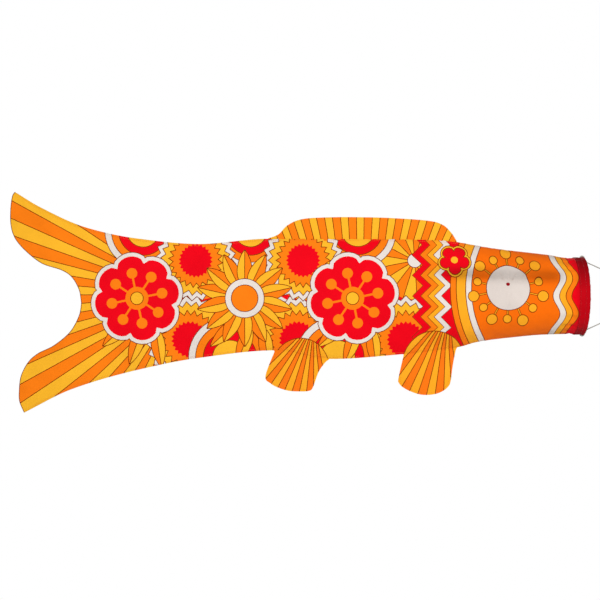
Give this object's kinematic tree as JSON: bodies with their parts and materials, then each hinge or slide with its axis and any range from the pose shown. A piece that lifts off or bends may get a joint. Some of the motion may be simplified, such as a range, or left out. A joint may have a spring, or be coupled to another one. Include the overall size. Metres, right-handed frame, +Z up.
{
  "type": "carp streamer",
  "caption": "Windsock shaped like a carp: a printed cloth tube held open by a mouth hoop, with sewn fins and a forked tail, flown from a two-leg bridle and a swivel.",
  "frame": {"origin": "centre of the bore in the hanging eye, at the front end of the swivel", "axes": "+X into the wind, along the swivel and the fish, so the tail is at -X; +Z up, towards the back fin; +Y along the bore of the hanging eye"},
  "size_m": [1.19, 0.1378, 0.386],
  "materials": {
    "printed_cloth": "plain-woven cotton or polyester, screen printed in orange, amber, red and white",
    "fin_cloth": "the same printed cloth, with fanned stripes",
    "casing_cloth": "plain red cloth strip, folded and topstitched",
    "cord": "white braided cord",
    "hoop_wire": "bright spring wire",
    "swivel_steel": "polished stainless",
    "swivel_brass": "turned, lightly tarnished"
  },
  "bodies": {
    "root": {"hang_eye": "swivel_steel"},
    "barrel": {"swivel_barrel": "swivel_brass"},
    "rear_eye": {"swivel_rear_eye": "swivel_steel"},
    "bridle": {"bridle_knot": "cord", "bridle_upper_leg": "cord", "bridle_lower_leg": "cord"},
    "head": {"upper_tie": "cord", "lower_tie": "cord", "mouth_hoop": "hoop_wire", "hoop_joiner": "hoop_wire", "mouth_casing": "casing_cloth", "head_panel_left": "printed_cloth", "head_panel_right": "printed_cloth"},
    "trunk": {"trunk_panel_left": "printed_cloth", "trunk_panel_right": "printed_cloth"},
    "stalk": {"stalk_panel_left": "printed_cloth", "stalk_panel_right": "printed_cloth"},
    "tail": {"tail_panel_left": "printed_cloth", "tail_panel_right": "printed_cloth"},
    "upper_lobe": {"upper_lobe_left": "printed_cloth", "upper_lobe_right": "printed_cloth"},
    "lower_lobe": {"lower_lobe_left": "printed_cloth", "lower_lobe_right": "printed_cloth"},
    "back_fin": {"back_fin_left": "fin_cloth", "back_fin_right": "fin_cloth"},
    "front_fin": {"front_fin_left": "fin_cloth", "front_fin_right": "fin_cloth"},
    "rear_fin": {"rear_fin_left": "fin_cloth", "rear_fin_right": "fin_cloth"}
  },
  "joints": [
    {"name": "barrel_spin", "type": "hinge", "parent": "root", "child": "barrel", "pos_m": [-0.0095, 0, 0], "axis": [1, 0, 0], "continuous": true},
    {"name": "rear_eye_spin", "type": "hinge", "parent": "barrel", "child": "rear_eye", "pos_m": [-0.0205, 0, 0], "axis": [1, 0, 0], "continuous": true},
    {"name": "bridle_droop", "type": "hinge", "parent": "rear_eye", "child": "bridle", "pos_m": [-0.0288, 0, 0], "axis": [0, -1, 0], "range_deg": [-20, 90]},
    {"name": "mouth_swing", "type": "hinge", "parent": "bridle", "child": "head", "pos_m": [-0.17925, 0, 0], "axis": [0, 0, 1], "range_deg": [-40, 40]},
    {"name": "neck_bend", "type": "hinge", "parent": "head", "child": "trunk", "pos_m": [-0.39012, 0, 0], "axis": [0, 0, 1], "range_deg": [-20, 20]},
    {"name": "stalk_bend", "type": "hinge", "parent": "trunk", "child": "stalk", "pos_m": [-0.74713, 0, 0], "axis": [0, 0, 1], "range_deg": [-25, 25]},
    {"name": "tail_bend", "type": "hinge", "parent": "stalk", "child": "tail", "pos_m": [-0.95713, 0, 0], "axis": [0, 0, 1], "range_deg": [-30, 30]},
    {"name": "upper_lobe_flap", "type": "hinge", "parent": "tail", "child": "upper_lobe", "pos_m": [-1.05713, 0, 0], "axis": [0, 0, 1], "range_deg": [-35, 35]},
    {"name": "lower_lobe_flap", "type": "hinge", "parent": "tail", "child": "lower_lobe", "pos_m": [-1.05713, 0, 0], "axis": [0, 0, 1], "range_deg": [-35, 35]},
    {"name": "back_fin_flap", "type": "hinge", "parent": "trunk", "child": "back_fin", "pos_m": [-0.56712, 0, 0.0985], "axis": [0.9998, 0, -0.02], "range_deg": [-60, 60]},
    {"name": "front_fin_flap", "type": "hinge", "parent": "trunk", "child": "front_fin", "pos_m": [-0.44812, 0, -0.0962], "axis": [0.9923, 0, 0.124], "range_deg": [-60, 60]},
    {"name": "rear_fin_flap", "type": "hinge", "parent": "trunk", "child": "rear_fin", "pos_m": [-0.67312, 0, -0.1026], "axis": [0.9874, 0, -0.1581], "range_deg": [-60, 60]}
  ]
}
